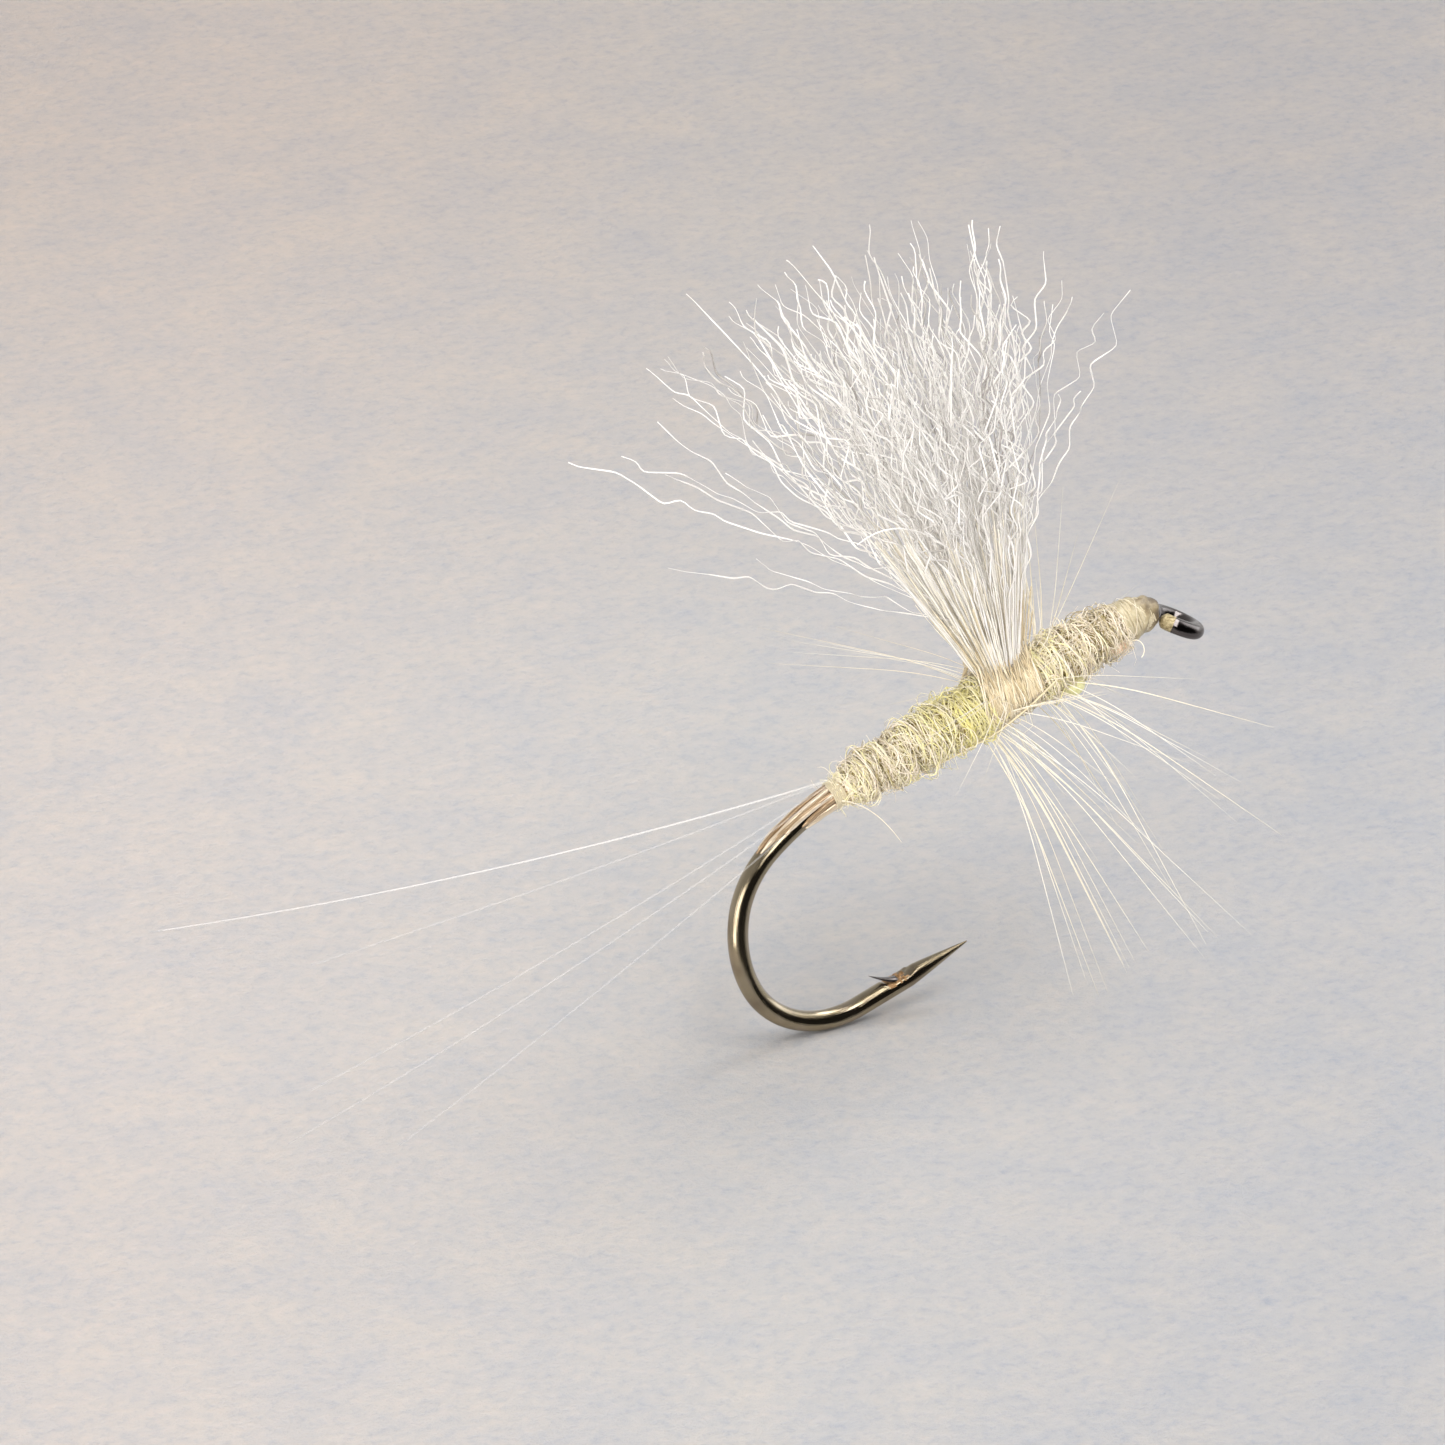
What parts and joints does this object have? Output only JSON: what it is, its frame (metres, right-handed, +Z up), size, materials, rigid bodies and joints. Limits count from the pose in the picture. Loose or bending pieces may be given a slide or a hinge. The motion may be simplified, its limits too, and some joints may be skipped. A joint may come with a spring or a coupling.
{
  "type": "dry fly",
  "caption": "Pale yellow upright-winged dry fly on a bronzed down-eye hook, with a white yarn wing, cream hackle, dubbed body and long fine tails.",
  "frame": {"origin": "on the surface that the fly stands on, under the middle of its box", "axes": "+Z up, +X from the tail towards the eye, +Y to the fly's left"},
  "size_m": [0.0196, 0.0131, 0.0149],
  "materials": {
    "bronzed_wire": "gloss",
    "tying_thread": "satin",
    "tail_fibre": "gloss",
    "clear_cement": "gloss",
    "body_dubbing": "matte",
    "wing_yarn": "satin",
    "hackle_quill": "satin",
    "hackle_barb": "gloss"
  },
  "bodies": {
    "root": {"abdomen_dubbing": "body_dubbing", "hackle_barbs_1": "hackle_barb", "hackle_barbs_2": "hackle_barb", "hackle_barbs_3": "hackle_barb", "hackle_barbs_4": "hackle_barb", "hackle_barbs_5": "hackle_barb", "hackle_quill": "hackle_quill", "hackle_tip": "hackle_quill", "head_cement": "clear_cement", "head_wraps": "tying_thread", "hook": "bronzed_wire", "tail_butts": "tail_fibre", "tail_cement": "clear_cement", "tail_fibre_1": "tail_fibre", "tail_fibre_2": "tail_fibre", "tail_fibre_3": "tail_fibre", "tail_fibre_4": "tail_fibre", "tail_fibre_5": "tail_fibre", "tail_lashing": "tying_thread", "thorax_dubbing_front": "body_dubbing", "thorax_dubbing_middle": "body_dubbing", "thorax_dubbing_rear": "body_dubbing", "thread_base": "tying_thread", "whip_finish": "tying_thread", "wing_butts": "wing_yarn", "wing_locks_front": "wing_yarn", "wing_locks_middle": "wing_yarn", "wing_locks_rear": "wing_yarn", "wing_root": "wing_yarn", "wing_strays": "wing_yarn", "wing_wraps": "tying_thread"}
  },
  "joints": []
}
